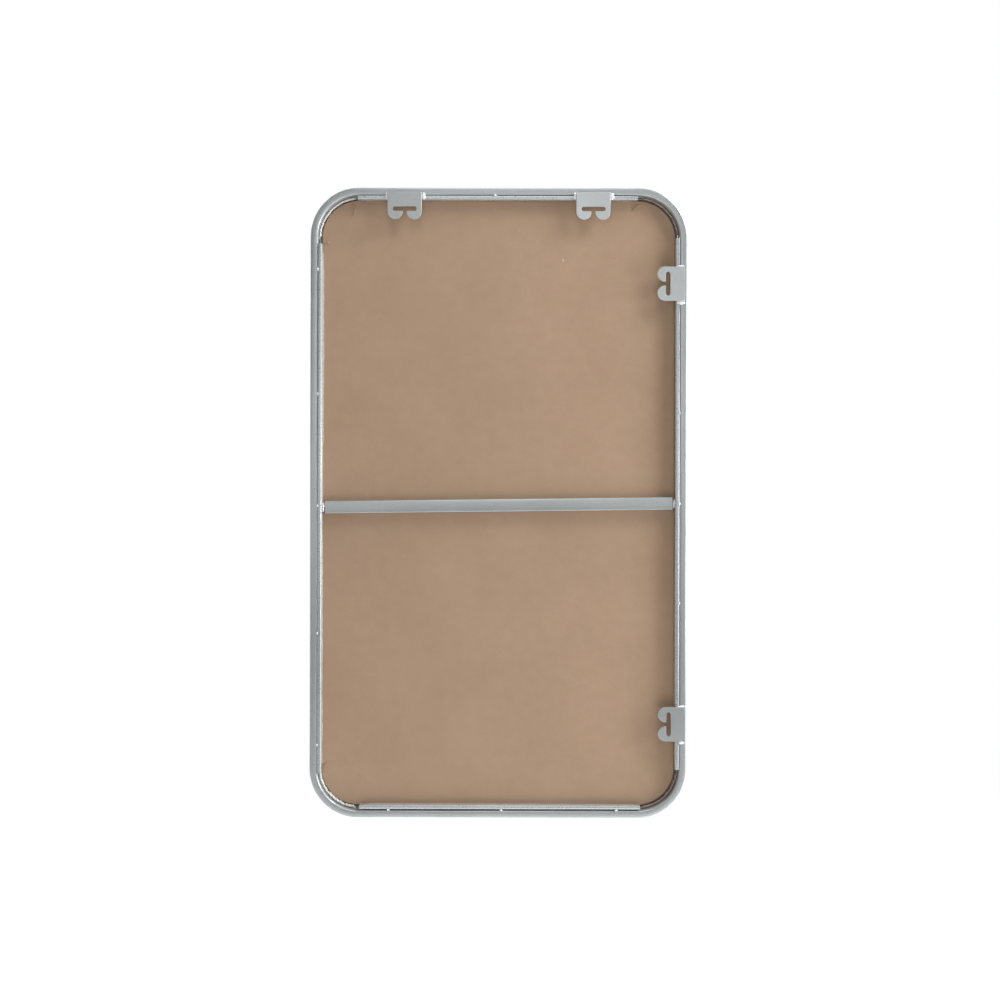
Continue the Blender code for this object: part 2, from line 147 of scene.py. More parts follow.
# Each light: name, place from the middle of the hoop, and power in watts. Most of the light
# grazes the back from its upper right, as the camera sees it.
LIGHT_SIZE = 0.9
LIGHTS = (
    ("top_grazing_light", (0.0, 0.344, 2.173), 5.1),
    ("top_low_light", (0.0, 0.824, 2.04), 4.8),
    ("top_high_light", (0.0, 1.556, 1.556), 3.8),
    ("corner_grazing_light", (-1.536, 0.344, 1.536), 63.0),
    ("right_grazing_light", (-2.173, 0.344, 0.0), 50.0),
    ("right_under_light", (-2.022, 0.457, -0.736), 7.8),
    ("left_edge_light", (2.19, 0.16, -0.35), 7.0),
    ("left_high_light", (1.556, 1.556, 0.0), 1.6),
    ("left_corner_light", (1.442, 0.824, 1.442), 4.5),
    ("camera_top_light", (0.0, 2.1, 0.6), 3.4),
    ("camera_right_light", (-0.8, 2.1, 0.1), 2.2),
    ("camera_left_light", (0.8, 2.1, 0.1), 2.3),
    ("front_light", (1.2, -2.2, 1.2), 25.0),
)
for name, offset, power in LIGHTS:
    soft_light(name, MIDDLE + np.array(offset), LIGHT_SIZE, power)

# Hoop: one rectangular steel tube bent into a rounded rectangle, its butt joint ground flat and
# the whole frame sprayed with satin silver paint that holds fine aluminium flake.
HOOP_WIDTH = 0.012
CORNER_RADIUS = 0.079
HOOP_EDGE = 0.0023
HOOP_CROWN = (0.0004, 0.0002)
CORNER_STEPS = 40
EDGE_STEPS = 6
SIDE_STEPS = 12


def rounded_outline(width, height, radius, corner_steps, side_steps=1):
    """Points and outward normals round a rectangle with round corners, about the origin.

    Each corner is a quarter circle; each side is the straight run to the next corner.
    """
    points, normals = [], []
    for quarter, (side_x, side_y) in enumerate(((1, 1), (-1, 1), (-1, -1), (1, -1))):
        angle = np.radians(90) * (quarter + np.linspace(0, 1, corner_steps + 1))
        normal = np.stack((np.cos(angle), np.sin(angle)), 1)
        centre = np.array((side_x * (width / 2 - radius), side_y * (height / 2 - radius)))
        points.append(centre + radius * normal)
        normals.append(normal)
    runs, run_normals = [], []
    for quarter in range(4):
        start, end = points[quarter][-1], points[(quarter + 1) % 4][0]
        share = np.linspace(0, 1, side_steps + 1)[1:-1, None]
        runs += [points[quarter], start + share * (end - start)]
        run_normals += [normals[quarter], np.repeat(normals[quarter][-1:], side_steps - 1, 0)]
    return np.concatenate(runs), np.concatenate(run_normals)


def grid_faces(rows, columns, wrap_rows):
    """Quads over a grid whose columns wrap round, and whose rows wrap if the surface is a ring."""
    row = np.arange(rows if wrap_rows else rows - 1)[:, None]
    column = np.arange(columns)[None, :]
    next_row, next_column = (row + 1) % rows, (column + 1) % columns
    corners = (row * columns + column, next_row * columns + column,
               next_row * columns + next_column, row * columns + next_column)
    return np.stack([np.broadcast_to(c, (len(row), columns)) for c in corners], -1).reshape(-1, 4)


def add_piece(name, grid, finish, wrap_rows=False, replaced=(), flat_caps=True):
    """Closed mesh over a grid of points, set out as rows of rings.

    The rings join one to the next. The first and last rings meet when the rows wrap, and are
    otherwise closed with one flat face each. The enclosed volume's sign turns the faces outwards.
    """
    rows, columns = grid.shape[:2]
    points = grid.reshape(-1, 3)
    quads = grid_faces(rows, columns, wrap_rows)
    a, b, c, d = (points[quads[:, k]] for k in range(4))
    centre = points.mean(0)
    volume = np.einsum("ij,ij->", a - centre, np.cross(b - centre, c - centre))
    volume += np.einsum("ij,ij->", a - centre, np.cross(c - centre, d - centre))
    faces = [tuple(quad) for quad in quads.tolist()]
    if not wrap_rows:
        faces.append(tuple(range(columns)))
        faces.append(tuple(range((rows - 1) * columns, rows * columns))[::-1])
    if volume < 0:
        faces = [face[::-1] for face in faces]
    mesh = bpy.data.meshes.new(name)
    mesh.from_pydata(points.tolist(), [], faces)
    mesh.shade_smooth()
    if not wrap_rows and flat_caps:
        mesh.polygons[-1].use_smooth = False
        mesh.polygons[-2].use_smooth = False
    mesh.materials.append(finish)
    piece = bpy.data.objects.new(name, mesh)
    bpy.context.scene.collection.objects.link(piece)
    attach(piece, "root")
    if replaced:
        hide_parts(*replaced)
    return piece


def noise_texture(graph, links, scale, detail, stretch=(1.0, 1.0, 1.0)):
    """Noise over Object coordinates, stretched along the axes."""
    place = graph.new("ShaderNodeTexCoord")
    mapping = graph.new("ShaderNodeMapping")
    mapping.inputs["Scale"].default_value = stretch
    links.new(place.outputs["Object"], mapping.inputs["Vector"])
    noise = graph.new("ShaderNodeTexNoise")
    noise.inputs["Scale"].default_value = scale
    noise.inputs["Detail"].default_value = detail
    links.new(mapping.outputs["Vector"], noise.inputs["Vector"])
    return noise


def colour_ramp(graph, links, source, stops):
    """Ramp from a texture's value to colours, given as (position, colour) stops."""
    ramp = graph.new("ShaderNodeValToRGB")
    while len(ramp.color_ramp.elements) < len(stops):
        ramp.color_ramp.elements.new(0.5)
    for element, (position, colour) in zip(ramp.color_ramp.elements, stops):
        element.position = position
        element.color = (*colour, 1.0)
    links.new(source, ramp.inputs["Fac"])
    return ramp


def mixed_colour(graph, links, kind, first, second, share=1.0):
    """Two colours blended in the given way; the share is a number or a texture's output."""
    mix = graph.new("ShaderNodeMix")
    mix.data_type = "RGBA"
    mix.blend_type = kind
    if isinstance(share, float):
        mix.inputs["Factor"].default_value = share
    else:
        links.new(share, mix.inputs["Factor"])
    links.new(first, mix.inputs["A"])
    if isinstance(second, tuple):
        mix.inputs["B"].default_value = (*second, 1.0)
    else:
        links.new(second, mix.inputs["B"])
    return mix.outputs["Result"]


def value_range(graph, links, source, low, high, new_low, new_high):
    """Clamped straight-line change of range."""
    change = graph.new("ShaderNodeMapRange")
    change.inputs["From Min"].default_value = low
    change.inputs["From Max"].default_value = high
    change.inputs["To Min"].default_value = new_low
    change.inputs["To Max"].default_value = new_high
    links.new(source, change.inputs["Value"])
    return change.outputs["Result"]


def add_bump(graph, links, shader, source, height):
    """Bump of a real height in metres, chained after any bump that is already there."""
    bump = graph.new("ShaderNodeBump")
    bump.inputs["Distance"].default_value = height
    links.new(source, bump.inputs["Height"])
    if shader.inputs["Normal"].is_linked:
        links.new(shader.inputs["Normal"].links[0].from_socket, bump.inputs["Normal"])
    links.new(bump.outputs["Normal"], shader.inputs["Normal"])


# Paint patterns, in cells to the metre: cloudy coat, aluminium flake, overspray grit, orange peel.
COAT_CLOUD_SCALE = 9.0
FLAKE_SCALE = 2600.0
GRIT_SCALE = 620.0
PEEL_SCALE = 420.0


def silver_paint(name, dark, light, roughness, peel):
    """Satin aluminium-flake spray paint: cloudy tone, fine flake, and orange peel of a height."""
    material, graph, links, shader = shader_material(name, light, roughness, 0.55)
    cloud = noise_texture(graph, links, COAT_CLOUD_SCALE, 3.0)
    tone = colour_ramp(graph, links, cloud.outputs["Fac"], ((0.30, dark), (0.70, light)))
    flake = graph.new("ShaderNodeTexVoronoi")
    flake.inputs["Scale"].default_value = FLAKE_SCALE
    flake_place = graph.new("ShaderNodeTexCoord")
    links.new(flake_place.outputs["Object"], flake.inputs["Vector"])
    glint = colour_ramp(
        graph, links, flake.outputs["Color"], ((0.0, (0.93, 0.93, 0.93)), (1.0, (1.0, 1.0, 1.0))))
    colour = mixed_colour(graph, links, "MULTIPLY", tone.outputs["Color"], glint.outputs["Color"])
    links.new(colour, shader.inputs["Base Color"])
    grit = noise_texture(graph, links, GRIT_SCALE, 2.0)
    gloss = value_range(graph, links, grit.outputs["Fac"], 0.3, 0.7, roughness - 0.05, roughness + 0.06)
    links.new(gloss, shader.inputs["Roughness"])
    peel_noise = noise_texture(graph, links, PEEL_SCALE, 1.0)
    add_bump(graph, links, shader, peel_noise.outputs["Fac"], peel)
    shader.inputs["Coat Weight"].default_value = 0.12
    shader.inputs["Coat Roughness"].default_value = 0.25
    return material


FRAME_PEEL = 0.000015
FRAME_GLOSS = 0.32
frame_paint = silver_paint("silver_paint", (0.405, 0.430, 0.433), (0.440, 0.465, 0.468),
                           FRAME_GLOSS, FRAME_PEEL)


def tube_profile(width, depth, edge, crown, steps):
    """Section of a rectangular tube: a rounded rectangle whose broad and side walls are crowned.

    Each wall falls away from its middle as the square of the distance across it, by the crown.
    """
    outline, normal = rounded_outline(width, depth, edge, steps, 6)
    share = (outline / np.array((width, depth)) * 2) ** 2
    drop = np.stack((crown[1] * share[:, 1], crown[0] * share[:, 0]), 1)
    return outline - np.sign(outline) * drop * np.abs(normal)


hoop_depth = HOOP_HIGH[1] - HOOP_LOW[1]
path, path_normal = rounded_outline(
    HOOP_HIGH[0] - HOOP_LOW[0] - HOOP_WIDTH, HOOP_HIGH[2] - HOOP_LOW[2] - HOOP_WIDTH,
    CORNER_RADIUS - HOOP_WIDTH / 2, CORNER_STEPS, SIDE_STEPS)
section = tube_profile(HOOP_WIDTH, hoop_depth, HOOP_EDGE, HOOP_CROWN, EDGE_STEPS)
hoop_grid = np.empty((len(path), len(section), 3))
hoop_grid[..., 0] = MIDDLE[0] + path[:, None, 0] + path_normal[:, None, 0] * section[None, :, 0]
hoop_grid[..., 1] = MIDDLE[1] + section[None, :, 1]
hoop_grid[..., 2] = MIDDLE[2] + path[:, None, 1] + path_normal[:, None, 1] * section[None, :, 0]
add_piece("hoop_tube", hoop_grid, frame_paint, True, ("frame_hoop",))

# Ledges: four straight lengths of small steel tube with saw-cut open ends, tacked inside the
# hoop flush with its back. The board is bedded on them. The same silver paint, made a little
# paler as painted light for the ledges looking brighter than the hoop.
LEDGE_EDGE = 0.0016
LEDGE_CROWN = (0.00035, 0.0001)
SIDE_GROOVE = 0.0005
LEDGE_WALL = 0.001
END_CHAMFER = 0.0002
LEDGES = ("ledge_top", "ledge_bottom", "ledge_left", "ledge_right")
LEDGE_PEEL = 0.00001
LEDGE_GLOSS = 0.30
# A paler copy of the frame paint: painted light for the ledges' brighter look.
ledge_paint = silver_paint("ledge_paint", (0.450, 0.475, 0.480), (0.490, 0.520, 0.525),
                           LEDGE_GLOSS, LEDGE_PEEL)


def open_tube(name, centre, along, length, width, depth, edge, crown, wall, finish, steps=6):
    """Straight open-ended tube as one ring surface: down the outside, round the cut end, and
    back up the bore. Each station is the section, shrunk by the chamfer or by the wall.
    """
    across = np.array((along[2], 0.0, -along[0]))
    outer = tube_profile(width, depth, edge, crown, steps)
    squeeze = np.array((1 - 2 * wall / width, 1 - 2 * wall / depth))
    chamfer = np.array((1 - 2 * END_CHAMFER / width, 1 - 2 * END_CHAMFER / depth))
    half = length / 2
    stations = [(-half, chamfer), (-half + END_CHAMFER, 1.0), (half - END_CHAMFER, 1.0),
                (half, chamfer), (half, squeeze), (half - END_CHAMFER, squeeze),
                (END_CHAMFER - half, squeeze), (-half, squeeze)]
    rings = []
    for distance, scale in stations:
        flat = outer * scale
        rings.append(centre + distance * along + flat[:, :1] * across
                     + flat[:, 1:] * np.array((0.0, 1.0, 0.0)))
    piece = add_piece(name + "_tube", np.array(rings), finish, True, (name,))
    piece.data.set_sharp_from_angle(angle=math.radians(40))
    return piece


for name in LEDGES:
    low, high = (np.array(corner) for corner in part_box(name))
    size = high - low
    lies_across = size[0] > size[2]
    axis = np.array((1.0, 0.0, 0.0) if lies_across else (0.0, 0.0, 1.0))
    if not lies_across:
        outer_side = high if high[0] > 0 else low
        outer_side[0] += math.copysign(SIDE_GROOVE, outer_side[0])
        size = high - low
    open_tube(name, (low + high) / 2, axis, max(size), min(size[0], size[2]), size[1],
              LEDGE_EDGE, LEDGE_CROWN, LEDGE_WALL, ledge_paint)

# Cross bar: a flat steel tube across the middle, behind the board, welded to the side ledges a
# little out of level. Same silver paint.
BAR_HEIGHT = 0.020
BAR_TILT = math.radians(0.75)
BAR_EDGE = 0.0016
BAR_WALL = 0.0012
BAR_CROWN = (0.0003, 0.0001)

low, high = (np.array(corner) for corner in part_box("cross_bar"))
bar_along = np.array((math.cos(BAR_TILT), 0.0, -math.sin(BAR_TILT)))
bar_length = (high[0] - low[0] - BAR_HEIGHT * math.sin(BAR_TILT)) / math.cos(BAR_TILT)
open_tube("cross_bar", (low + high) / 2, bar_along, bar_length, BAR_HEIGHT, high[1] - low[1],
          BAR_EDGE, BAR_CROWN, BAR_WALL, frame_paint)

# Hangers: four plates punched from 2 mm steel, each with a T-shaped screw slot between two round
# hooks, and welded flat across the hoop and a ledge. The punched edges are slightly rounded.
HANGER_WIDTH = 0.055
HANGER_HEIGHT = 0.044
SLOT_LENGTH = 0.039
SLOT_WIDTH = 0.0074
SLOT_DROP = 0.0232
NECK_WIDTH = 0.0065
NECK_CORNER = 0.001
PUNCHED_EDGE = 0.00045
PLATE_CORNER = 0.0008
HANGERS = ("hanger_top_left", "hanger_top_right", "hanger_side_upper", "hanger_side_lower")


def arc(centre, radius, start, sweep, steps):
    """Points and directions along an arc, by its start angle and sweep in degrees."""
    angle = np.radians(start + sweep * np.linspace(0, 1, steps + 1))
    ray = np.stack((np.cos(angle), np.sin(angle)), 1)
    return np.array(centre) + radius * ray, ray * math.copysign(1.0, -sweep)


def hanger_outline():
    """Outline and outward normals of the slotted plate, its outer edge along local x = 0."""
    slot_radius = SLOT_WIDTH / 2
    slot_y = -(SLOT_DROP + slot_radius)
    lobe = (HANGER_WIDTH - NECK_WIDTH) / 4
    half = HANGER_WIDTH / 2
    runs = [
        arc((half - PLATE_CORNER, -PLATE_CORNER), PLATE_CORNER, 90, -90, 4),
        arc((half - lobe, lobe - HANGER_HEIGHT), lobe, 0, -180, 40),
        arc((NECK_WIDTH / 2 + NECK_CORNER, slot_y - slot_radius - NECK_CORNER), NECK_CORNER,
            180, -90, 6),
    ]
    slot_end, slot_ray = arc((SLOT_LENGTH / 2 - slot_radius, slot_y), slot_radius, -90, 180, 20)
    points = np.concatenate([run[0] for run in runs] + [slot_end])
    normals = np.concatenate([run[1] for run in runs] + [slot_ray])
    mirror = np.array((-1.0, 1.0))
    return (np.concatenate((points, points[::-1] * mirror)),
            np.concatenate((normals, normals[::-1] * mirror)))


# Two of the plates get a paler copy of the paint, painted light for these plates looking brighter.
paler_plate_paint_painted_light = silver_paint("silver_paint_heavy", (0.505, 0.535, 0.542), (0.545, 0.577, 0.583),
                          FRAME_GLOSS, FRAME_PEEL)
BRIGHTER_LIT_PLATES = ("hanger_top_left", "hanger_side_upper")
outline, outline_normal = hanger_outline()
for name in HANGERS:
    low, high = (np.array(corner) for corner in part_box(name))
    upright = "top" in name
    thickness = high[1] - low[1]
    edge = np.linspace(0, 1, 5)
    inset = np.concatenate((1 - np.sin(edge * math.pi / 2), 1 - np.cos(edge * math.pi / 2)))
    lift = np.concatenate((low[1] + PUNCHED_EDGE * (1 - np.cos(edge * math.pi / 2)),
                           high[1] - PUNCHED_EDGE * (1 - np.sin(edge * math.pi / 2))))
    rings = []
    for step, depth in zip(inset, lift):
        flat = outline - outline_normal * step * PUNCHED_EDGE
        x = flat[:, 0] if upright else -flat[:, 1]
        z = flat[:, 1] if upright else flat[:, 0]
        x = x + ((low[0] + high[0]) / 2 if upright else low[0])
        z = z + (high[2] if upright else (low[2] + high[2]) / 2)
        rings.append(np.stack((x, np.full(len(flat), depth), z), 1))
    # The paler copy on two plates is painted light.
    coat = paler_plate_paint_painted_light if name in BRIGHTER_LIT_PLATES else frame_paint
    add_piece(name + "_plate", np.array(rings), coat, False, (name,))

# Welds: short irregular beads of fused steel down the sides of each plate, small tacks that bridge
# the groove between ledge and hoop, and beads at the bar's ends. Painted over and rough, their paint
# made near white as a painted highlight for the glints on the beads.
WELD_RINGS = 30
WELD_COLUMNS = 30
WELD_POLE = 0.10
WELD_LUMP_SCALE = 700.0
WELD_LUMP_HEIGHT = 0.0006
TACK_SIZE = (0.0017, 0.0009, 0.0024)
TACK_Y = -0.0025
PLATE_WELD_Y = -0.0017
PLATE_WELD_DEPTH = 0.0013
PLATE_WELD_OVERLAP = 0.0006
BAR_WELD_DEPTH = 0.0030
FIRST_WELD_SEED = 100

# Each bar weld: how far it sits along the bar from its solid, and half its width and length.
BAR_WELDS = {
    "cross_bar_weld_left": (-0.0003, 0.0024, 0.0072),
    "cross_bar_weld_right": (0.0003, 0.0030, 0.0080),
}

# Each plate weld: half its width across the plate's side, and half its length along it.
PLATE_WELDS = {
    "hanger_top_right_weld_2": (0.0021, 0.0060),
    "hanger_top_right_weld_1": (0.0038, 0.0058),
    "hanger_top_left_weld_2": (0.0026, 0.0058),
    "hanger_top_left_weld_1": (0.0036, 0.0055),
    "hanger_side_upper_weld_2": (0.0017, 0.0058),
    "hanger_side_upper_weld_1": (0.0036, 0.0064),
    "hanger_side_lower_weld_2": (0.0018, 0.0072),
    "hanger_side_lower_weld_1": (0.0030, 0.0042),
}


def weld_paint():
    """Silver paint on lumpy welds: glossier, pitted by spatter, near white as a painted highlight."""
    material, graph, links, shader = shader_material("weld_paint", (0.80, 0.81, 0.82), 0.24, 0.45)
    lumps = noise_texture(graph, links, WELD_LUMP_SCALE, 4.0)
    # Pale to near-white tones: a painted highlight for the glints on the weld beads.
    tone = colour_ramp(
        graph, links, lumps.outputs["Fac"],
        ((0.30, (0.62, 0.63, 0.64)), (0.46, (0.90, 0.91, 0.92)), (1.0, (0.96, 0.97, 0.98))))
    links.new(tone.outputs["Color"], shader.inputs["Base Color"])
    add_bump(graph, links, shader, lumps.outputs["Fac"], WELD_LUMP_HEIGHT)
    return material


weld_highlight_finish = weld_paint()


def bead(name, centre, half_size, seed, finish, replaced):
    """Lumpy ellipsoid, longest along z unless its half sizes say otherwise.

    A sphere's latitude rings, scaled to the half sizes and swollen by a few sine waves of random
    phase, which run along the bead like the ripples of a weld.
    """
    rng = np.random.default_rng(seed)
    pole = np.linspace(WELD_POLE, math.pi - WELD_POLE, WELD_RINGS)[:, None]
    turn = np.linspace(0, 2 * math.pi, WELD_COLUMNS, endpoint=False)[None, :]
    phases = rng.uniform(0, 2 * math.pi, 6)
    swell = 1 + 0.20 * np.sin(3 * pole + phases[0]) * np.sin(2 * turn + phases[1])
    swell += 0.12 * np.sin(7 * pole + phases[2]) * np.cos(turn + phases[3])
    swell += 0.06 * np.sin(11 * pole + 3 * turn + phases[4]) + 0.05 * np.sin(5 * turn + phases[5])
    swell /= swell.max()
    level = np.cos(pole) * np.ones_like(turn)
    unit = np.stack((np.sin(pole) * np.cos(turn) * swell, np.sin(pole) * np.sin(turn) * swell,
                     level), -1)
    if half_size[0] > half_size[2]:
        unit = unit[..., ::-1]
    grid = np.array(centre) + unit * np.array(half_size)
    return add_piece(name, grid, finish, False, replaced, False)


for number, name in enumerate(sorted(n for n in nodes if "_weld_" in n or "_tack_" in n)):
    low, high = (np.array(corner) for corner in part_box(name))
    centre = (low + high) / 2
    lies_across = high[0] - low[0] > high[2] - low[2]
    if name in PLATE_WELDS:
        across, along = PLATE_WELDS[name]
        half_size = np.array((along, PLATE_WELD_DEPTH, across) if lies_across
                             else (across, PLATE_WELD_DEPTH, along))
        plate = name[:name.index("_weld_")]
        plate_low, plate_high = (np.array(corner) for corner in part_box(plate))
        side = np.sign(centre - (plate_low + plate_high) / 2)
        axis = 2 if lies_across else 0
        plate_side = plate_high if side[axis] > 0 else plate_low
        centre[axis] = plate_side[axis] + side[axis] * (across - PLATE_WELD_OVERLAP)
        centre[1] = PLATE_WELD_Y
    elif name in BAR_WELDS:
        shift, across, along = BAR_WELDS[name]
        half_size = np.array((across, BAR_WELD_DEPTH, along))
        centre[0] += shift
    else:
        half_size = np.array(TACK_SIZE)
        if lies_across:
            half_size = half_size[::-1]
        centre[1] = TACK_Y
    bead(name + "_bead", centre, half_size, FIRST_WELD_SEED + number, weld_highlight_finish, (name,))

# Board: 3 mm brown hardboard, wood fibre pressed flat, with sanded edges. It backs the glass and
# is bedded on the ledges. Its face is faintly mottled, with pale fibres and dark shives.
BOARD_RADIUS = 0.0605
BOARD_EDGE = 0.0006
BOARD_CLOUD_SCALE = 8.0
FIBRE_SCALE = 760.0
FIBRE_NAP = 0.00008
BLOTCH_SCALE = 55.0
PALE_FLECK_SCALE = 95.0
DARK_FLECK_SCALE = 70.0


def flecks(graph, links, scale, size, share, stretch):
    """Mask of scattered flecks: cells of a Voronoi pattern, of which the given share hold one."""
    place = graph.new("ShaderNodeTexCoord")
    mapping = graph.new("ShaderNodeMapping")
    mapping.inputs["Scale"].default_value = stretch
    mapping.inputs["Rotation"].default_value = (0.3, 0.5, 0.7)
    links.new(place.outputs["Object"], mapping.inputs["Vector"])
    cells = graph.new("ShaderNodeTexVoronoi")
    cells.inputs["Scale"].default_value = scale
    links.new(mapping.outputs["Vector"], cells.inputs["Vector"])
    core = value_range(graph, links, cells.outputs["Distance"], size * 0.4, size, 1.0, 0.0)
    chosen = value_range(graph, links, cells.outputs["Color"], share, share + 0.02, 1.0, 0.0)
    both = graph.new("ShaderNodeMath")
    both.operation = "MULTIPLY"
    links.new(core, both.inputs[0])
    links.new(chosen, both.inputs[1])
    return both.outputs["Value"]


def fibreboard():
    """Pressed wood fibre: cloudy brown, fine fibre grain, pale and dark flecks, soft nap."""
    material, graph, links, shader = shader_material("fibreboard", (0.40, 0.29, 0.20), 0.88, 0.0)
    cloud = noise_texture(graph, links, BOARD_CLOUD_SCALE, 5.0)
    base = colour_ramp(graph, links, cloud.outputs["Fac"],
                       ((0.30, (0.370, 0.248, 0.161)), (0.72, (0.402, 0.272, 0.180))))
    grain = noise_texture(graph, links, FIBRE_SCALE, 6.0)
    grain_tone = colour_ramp(graph, links, grain.outputs["Fac"],
                             ((0.28, (0.86, 0.85, 0.84)), (0.72, (1.0, 1.0, 1.0))))
    colour = mixed_colour(graph, links, "MULTIPLY", base.outputs["Color"], grain_tone.outputs["Color"])
    blotch = noise_texture(graph, links, BLOTCH_SCALE, 4.0)
    blotch_tone = colour_ramp(graph, links, blotch.outputs["Fac"],
                              ((0.30, (0.955, 0.95, 0.945)), (0.65, (1.0, 1.0, 1.0))))
    colour = mixed_colour(graph, links, "MULTIPLY", colour, blotch_tone.outputs["Color"])
    pale = flecks(graph, links, PALE_FLECK_SCALE, 0.16, 0.06, (1.0, 1.0, 0.45))
    colour = mixed_colour(graph, links, "MIX", colour, (0.50, 0.38, 0.28), pale)
    dark = flecks(graph, links, DARK_FLECK_SCALE, 0.10, 0.05, (0.5, 1.0, 1.0))
    colour = mixed_colour(graph, links, "MIX", colour, (0.27, 0.17, 0.11), dark)
    links.new(colour, shader.inputs["Base Color"])
    add_bump(graph, links, shader, grain.outputs["Fac"], FIBRE_NAP)
    shader.inputs["Sheen Weight"].default_value = 0.12
    return material


def slab(name, low, high, radius, edge, finish, replaced=()):
    """Upright flat slab with round corners: one outline, drawn in at its two rims by an arc."""
    outline, normal = rounded_outline(high[0] - low[0], high[2] - low[2], radius, CORNER_STEPS, 4)
    turn = np.linspace(0, math.pi / 2, 4)
    inset = np.concatenate((1 - np.sin(turn), 1 - np.cos(turn)))
    depth = np.concatenate((low[1] + edge * (1 - np.cos(turn)), high[1] - edge * (1 - np.sin(turn))))
    flat = outline[None] - normal[None] * inset[:, None, None] * edge
    grid = np.stack(((low[0] + high[0]) / 2 + flat[..., 0],
                     np.repeat(depth[:, None], len(outline), 1),
                     (low[2] + high[2]) / 2 + flat[..., 1]), -1)
    return add_piece(name, grid, finish, False, replaced)


low, high = (np.array(corner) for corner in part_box("backing_board"))
slab("fibreboard_panel", low, high, BOARD_RADIUS, BOARD_EDGE, fibreboard(),
     ("backing_board",))

# Ledge silicone: one bead under each ledge that beds the board against it, and squeezes out along
# the ledge's foot where too much was laid. Cured, milky and slightly pink.
SILICONE_STEPS = 260
SILICONE_COLUMNS = 12
BEAD_HALF_HEIGHT = 0.00066
BEAD_HALF_WIDTH = 0.0020
SQUEEZE_SPREAD = 0.16
SQUEEZE_CYCLES = (7, 19, 43, 71)
SILICONE_CLOUD_SCALE = 260.0
FIRST_SILICONE_SEED = 40

# Each bead: how far it squeezes out past the ledge, less than zero where it stays under it, and
# where the squeeze is worst, from the middle of the hoop.
SQUEEZE = {
    "ledge_top_silicone": (-0.0012, 0.0),
    "ledge_bottom_silicone": (-0.0004, -0.15),
    "ledge_left_silicone": (-0.0012, 0.0),
    "ledge_right_silicone": (0.0016, 0.27),
}
MILKY_SKIN_HEIGHT = 0.0003


def milky(name, colour, roughness, scale):
    """Milky cured glue: cloudy colour, a wet gloss, and a wavy skin."""
    material, graph, links, shader = shader_material(name, colour, roughness, 0.0)
    cloud = noise_texture(graph, links, scale, 3.0)
    darker = tuple(0.78 * channel for channel in colour)
    tone = colour_ramp(graph, links, cloud.outputs["Fac"], ((0.32, darker), (0.66, colour)))
    links.new(tone.outputs["Color"], shader.inputs["Base Color"])
    add_bump(graph, links, shader, cloud.outputs["Fac"], MILKY_SKIN_HEIGHT)
    shader.inputs["Coat Weight"].default_value = 0.35
    shader.inputs["Coat Roughness"].default_value = 0.15
    return material


silicone_finish = milky("milky_silicone", (0.47, 0.39, 0.34), 0.42, SILICONE_CLOUD_SCALE)
for number, (name, (reach, worst)) in enumerate(SQUEEZE.items()):
    low, high = (np.array(corner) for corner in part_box(name))
    ledge_low, ledge_high = (np.array(corner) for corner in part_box(name.replace("_silicone", "")))
    lies_across = high[0] - low[0] > high[2] - low[2]
    run, side = (0, 2) if lies_across else (2, 0)
    rng = np.random.default_rng(FIRST_SILICONE_SEED + number)
    along = np.linspace(0, 1, SILICONE_STEPS)
    place = low[run] + along * (high[run] - low[run])
    waves = sum(np.sin(2 * math.pi * cycles * along + rng.uniform(0, 6.28)) / 3
                for cycles in SQUEEZE_CYCLES)
    near = np.exp(-((place - MIDDLE[run] - worst) / SQUEEZE_SPREAD) ** 2)
    squeeze = reach * np.clip(0.25 + near * 0.8 + 0.45 * waves, 0.0, 1.6)
    inward = -np.sign((ledge_low[side] + ledge_high[side]) / 2 - MIDDLE[side])
    face = ledge_high[side] if inward > 0 else ledge_low[side]
    turn = np.linspace(0, 2 * math.pi, SILICONE_COLUMNS, endpoint=False)
    grid = np.empty((SILICONE_STEPS, SILICONE_COLUMNS, 3))
    middle = face + inward * (squeeze - BEAD_HALF_WIDTH)
    grid[..., run] = place[:, None]
    grid[..., side] = middle[:, None] + BEAD_HALF_WIDTH * np.cos(turn)[None, :]
    grid[..., 1] = (low[1] + high[1]) / 2 + BEAD_HALF_HEIGHT * np.sin(turn)[None, :]
    add_piece(name + "_bead", grid, silicone_finish, False, (name,))

# Corner glue: hot-melt glue run up the hoop's inner wall round each corner, laid in overlapping
# dabs that set as ribs. Thin amber strings and one dab were pulled off its ends on to the board.
RIB_STEPS = 150
RIB_COLUMNS = 14
STRING_COLUMNS = 8
STRING_STEPS = 28
RIBS = 22
GLUE_TUCK = 0.0006
GLUE_RISE = 1.7
GLUE_GLOSS = 0.22
STRING_GLOSS = 0.30
GLUE_CLOUD_SCALE = 420.0
FIRST_GLUE_SEED = 60
STRING_LIFT = 0.0003

# Each corner: its sides, half the bead's mean thickness, how strongly it is ribbed, where its arc
# starts and ends in degrees, and its colour, the brown one painted shade on the two -X corners
# where the hoop shades the glue.
PALE_GLUE = (0.56, 0.54, 0.52)
# Painted shade: the same glue as the pale, darker where the hoop shades it.
SHADED_BROWN_GLUE = (0.30, 0.22, 0.18)
CORNERS = {
    "corner_glue_top_right": (1, 1, 0.0016, 0.28, -1, 86, PALE_GLUE),
    "corner_glue_bottom_right": (1, -1, 0.0019, 0.34, 4, 91, PALE_GLUE),
    "corner_glue_top_left": (-1, 1, 0.0015, 0.30, 4, 88, SHADED_BROWN_GLUE),
    "corner_glue_bottom_left": (-1, -1, 0.0016, 0.34, 2, 87, SHADED_BROWN_GLUE),
}

